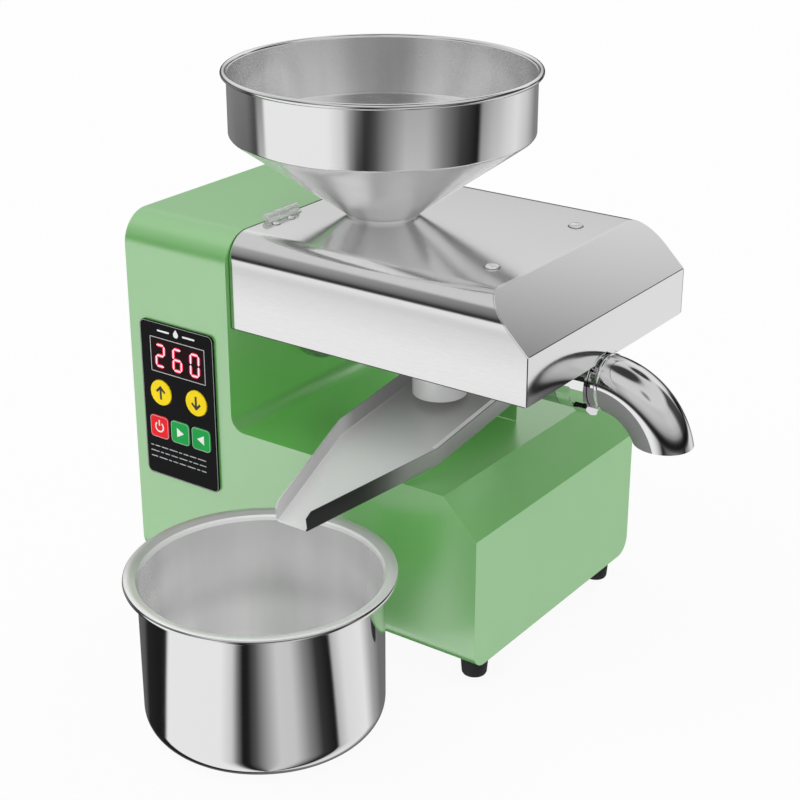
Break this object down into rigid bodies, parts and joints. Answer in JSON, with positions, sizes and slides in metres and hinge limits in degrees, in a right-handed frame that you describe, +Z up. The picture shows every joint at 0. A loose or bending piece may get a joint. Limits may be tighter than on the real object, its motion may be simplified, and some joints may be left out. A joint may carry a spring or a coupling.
{
  "type": "screw oil press",
  "caption": "Bench-top screw oil press: painted body, hinged steel hood, funnel hopper, heated press barrel, residue elbow, oil chute and round pan.",
  "frame": {"origin": "on the table, under the middle of the machine's overall box", "axes": "+X from the column with the control panel towards the residue outlet, +Y from the pan and panel side to the back, +Z up"},
  "size_m": [0.3158, 0.322, 0.3077],
  "materials": {
    "green_paint": "satin green paint",
    "satin_steel": "satin stainless sheet",
    "polished_steel": "polished stainless",
    "cast_steel": "machined steel",
    "gear_steel": "cut and ground steel",
    "bronze": "plain bronze",
    "black_rubber": "matt black rubber",
    "black_gloss": "gloss black film on plastic",
    "black_plastic": "moulded black plastic",
    "red_window": "dark red filter",
    "yellow_key": "gloss yellow",
    "red_key": "gloss red",
    "green_key": "gloss green",
    "circuit_board": "lacquered board",
    "motor_enamel": "black enamel",
    "heater_mica": "heat-tinted steel band"
  },
  "bodies": {
    "base": {"arbor_1": "satin_steel", "arbor_2": "satin_steel", "body_shell": "green_paint", "bottom_plate": "satin_steel", "control_board": "circuit_board", "control_panel": "black_gloss", "display_module": "black_plastic", "display_window": "red_window", "drive_motor": "motor_enamel", "fan_frame": "black_plastic", "foot_1": "black_rubber", "foot_2": "black_rubber", "foot_3": "black_rubber", "foot_4": "black_rubber", "gearbox_pillar_1": "satin_steel", "gearbox_pillar_2": "satin_steel", "gearbox_pillar_3": "satin_steel", "gearbox_pillar_4": "satin_steel", "gearbox_plate_front": "satin_steel", "gearbox_plate_rear": "satin_steel", "heater_band": "heater_mica", "hinge_leaf_fixed_1": "satin_steel", "hinge_leaf_fixed_2": "satin_steel", "hinge_pin_1": "satin_steel", "hinge_pin_2": "satin_steel", "power_inlet": "black_plastic", "press_barrel": "cast_steel", "shaft_bearing_front": "bronze", "shaft_bearing_rear": "bronze", "side_cover": "green_paint", "temperature_probe": "bronze"},
    "hood_body": {"hood": "satin_steel", "hood_saddle": "satin_steel", "hood_screw_1": "satin_steel", "hood_screw_2": "satin_steel", "hinge_leaf_moving_1": "satin_steel", "hinge_leaf_moving_2": "satin_steel", "hinge_rivet_1": "satin_steel", "hinge_rivet_2": "satin_steel", "hinge_rivet_3": "satin_steel", "hinge_rivet_4": "satin_steel"},
    "hopper_body": {"hopper": "polished_steel"},
    "chute_body": {"oil_chute": "satin_steel"},
    "pan_body": {"oil_pan": "polished_steel"},
    "ring_nut_body": {"ring_nut": "polished_steel"},
    "elbow_body": {"residue_elbow": "polished_steel"},
    "press_drive": {"press_screw": "gear_steel", "output_shaft": "satin_steel", "output_gear": "gear_steel"},
    "second_gear": {"gear_cluster_2": "gear_steel"},
    "first_gear": {"gear_cluster_1": "gear_steel"},
    "motor_gear": {"motor_pinion": "gear_steel"},
    "fan_body": {"fan_rotor": "black_plastic"},
    "key_temperature_up_body": {"key_temperature_up": "yellow_key"},
    "key_temperature_down_body": {"key_temperature_down": "yellow_key"},
    "key_power_body": {"key_power": "red_key"},
    "key_forward_body": {"key_forward": "green_key"},
    "key_reverse_body": {"key_reverse": "green_key"}
  },
  "joints": [
    {"name": "hood_hinge", "type": "hinge", "parent": "base", "child": "hood_body", "pos_m": [-0.08269, 0.07336, 0.2272], "axis": [0, -1, 0], "range_deg": [0, 45]},
    {"name": "hopper_lift", "type": "slide", "parent": "hood_body", "child": "hopper_body", "axis": [0, 0, 1], "range_m": [0, 0.06]},
    {"name": "press_spin", "type": "hinge", "parent": "base", "child": "press_drive", "pos_m": [-0.08789, 0.07336, 0.1585], "axis": [1, 0, 0], "continuous": true},
    {"name": "second_gear_spin", "type": "hinge", "parent": "base", "child": "second_gear", "pos_m": [-0.10789, 0.08736, 0.1189], "axis": [1, 0, 0], "continuous": true},
    {"name": "first_gear_spin", "type": "hinge", "parent": "base", "child": "first_gear", "pos_m": [-0.09789, 0.05883, 0.09457], "axis": [1, 0, 0], "continuous": true},
    {"name": "motor_spin", "type": "hinge", "parent": "base", "child": "motor_gear", "pos_m": [-0.09589, 0.07336, 0.06], "axis": [1, 0, 0], "continuous": true},
    {"name": "ring_nut_turn", "type": "hinge", "parent": "base", "child": "ring_nut_body", "pos_m": [0.09211, 0.07336, 0.1585], "axis": [1, 0, 0], "continuous": true},
    {"name": "elbow_slide", "type": "slide", "parent": "base", "child": "elbow_body", "axis": [1, 0, 0], "range_m": [0, 0.025]},
    {"name": "chute_slide", "type": "slide", "parent": "base", "child": "chute_body", "axis": [0, -1, 0], "range_m": [0, 0.06]},
    {"name": "pan_slide", "type": "slide", "parent": "base", "child": "pan_body", "axis": [0, -1, 0], "range_m": [0, 0.06]},
    {"name": "fan_spin", "type": "hinge", "parent": "base", "child": "fan_body", "pos_m": [-0.15089, 0.07336, 0.06], "axis": [1, 0, 0], "continuous": true},
    {"name": "key_temperature_up_press", "type": "slide", "parent": "base", "child": "key_temperature_up_body", "axis": [0, 1, 0], "range_m": [0, 0.0005], "stiffness_N_per_m": 2000},
    {"name": "key_temperature_down_press", "type": "slide", "parent": "base", "child": "key_temperature_down_body", "axis": [0, 1, 0], "range_m": [0, 0.0005], "stiffness_N_per_m": 2000},
    {"name": "key_power_press", "type": "slide", "parent": "base", "child": "key_power_body", "axis": [0, 1, 0], "range_m": [0, 0.0005], "stiffness_N_per_m": 2000},
    {"name": "key_forward_press", "type": "slide", "parent": "base", "child": "key_forward_body", "axis": [0, 1, 0], "range_m": [0, 0.0005], "stiffness_N_per_m": 2000},
    {"name": "key_reverse_press", "type": "slide", "parent": "base", "child": "key_reverse_body", "axis": [0, 1, 0], "range_m": [0, 0.0005], "stiffness_N_per_m": 2000}
  ],
  "couplings": [
    {"joint": "second_gear_spin", "follows": "press_spin", "ratio": -3.2},
    {"joint": "first_gear_spin", "follows": "press_spin", "ratio": 12.8},
    {"joint": "motor_spin", "follows": "press_spin", "ratio": -51.2}
  ]
}
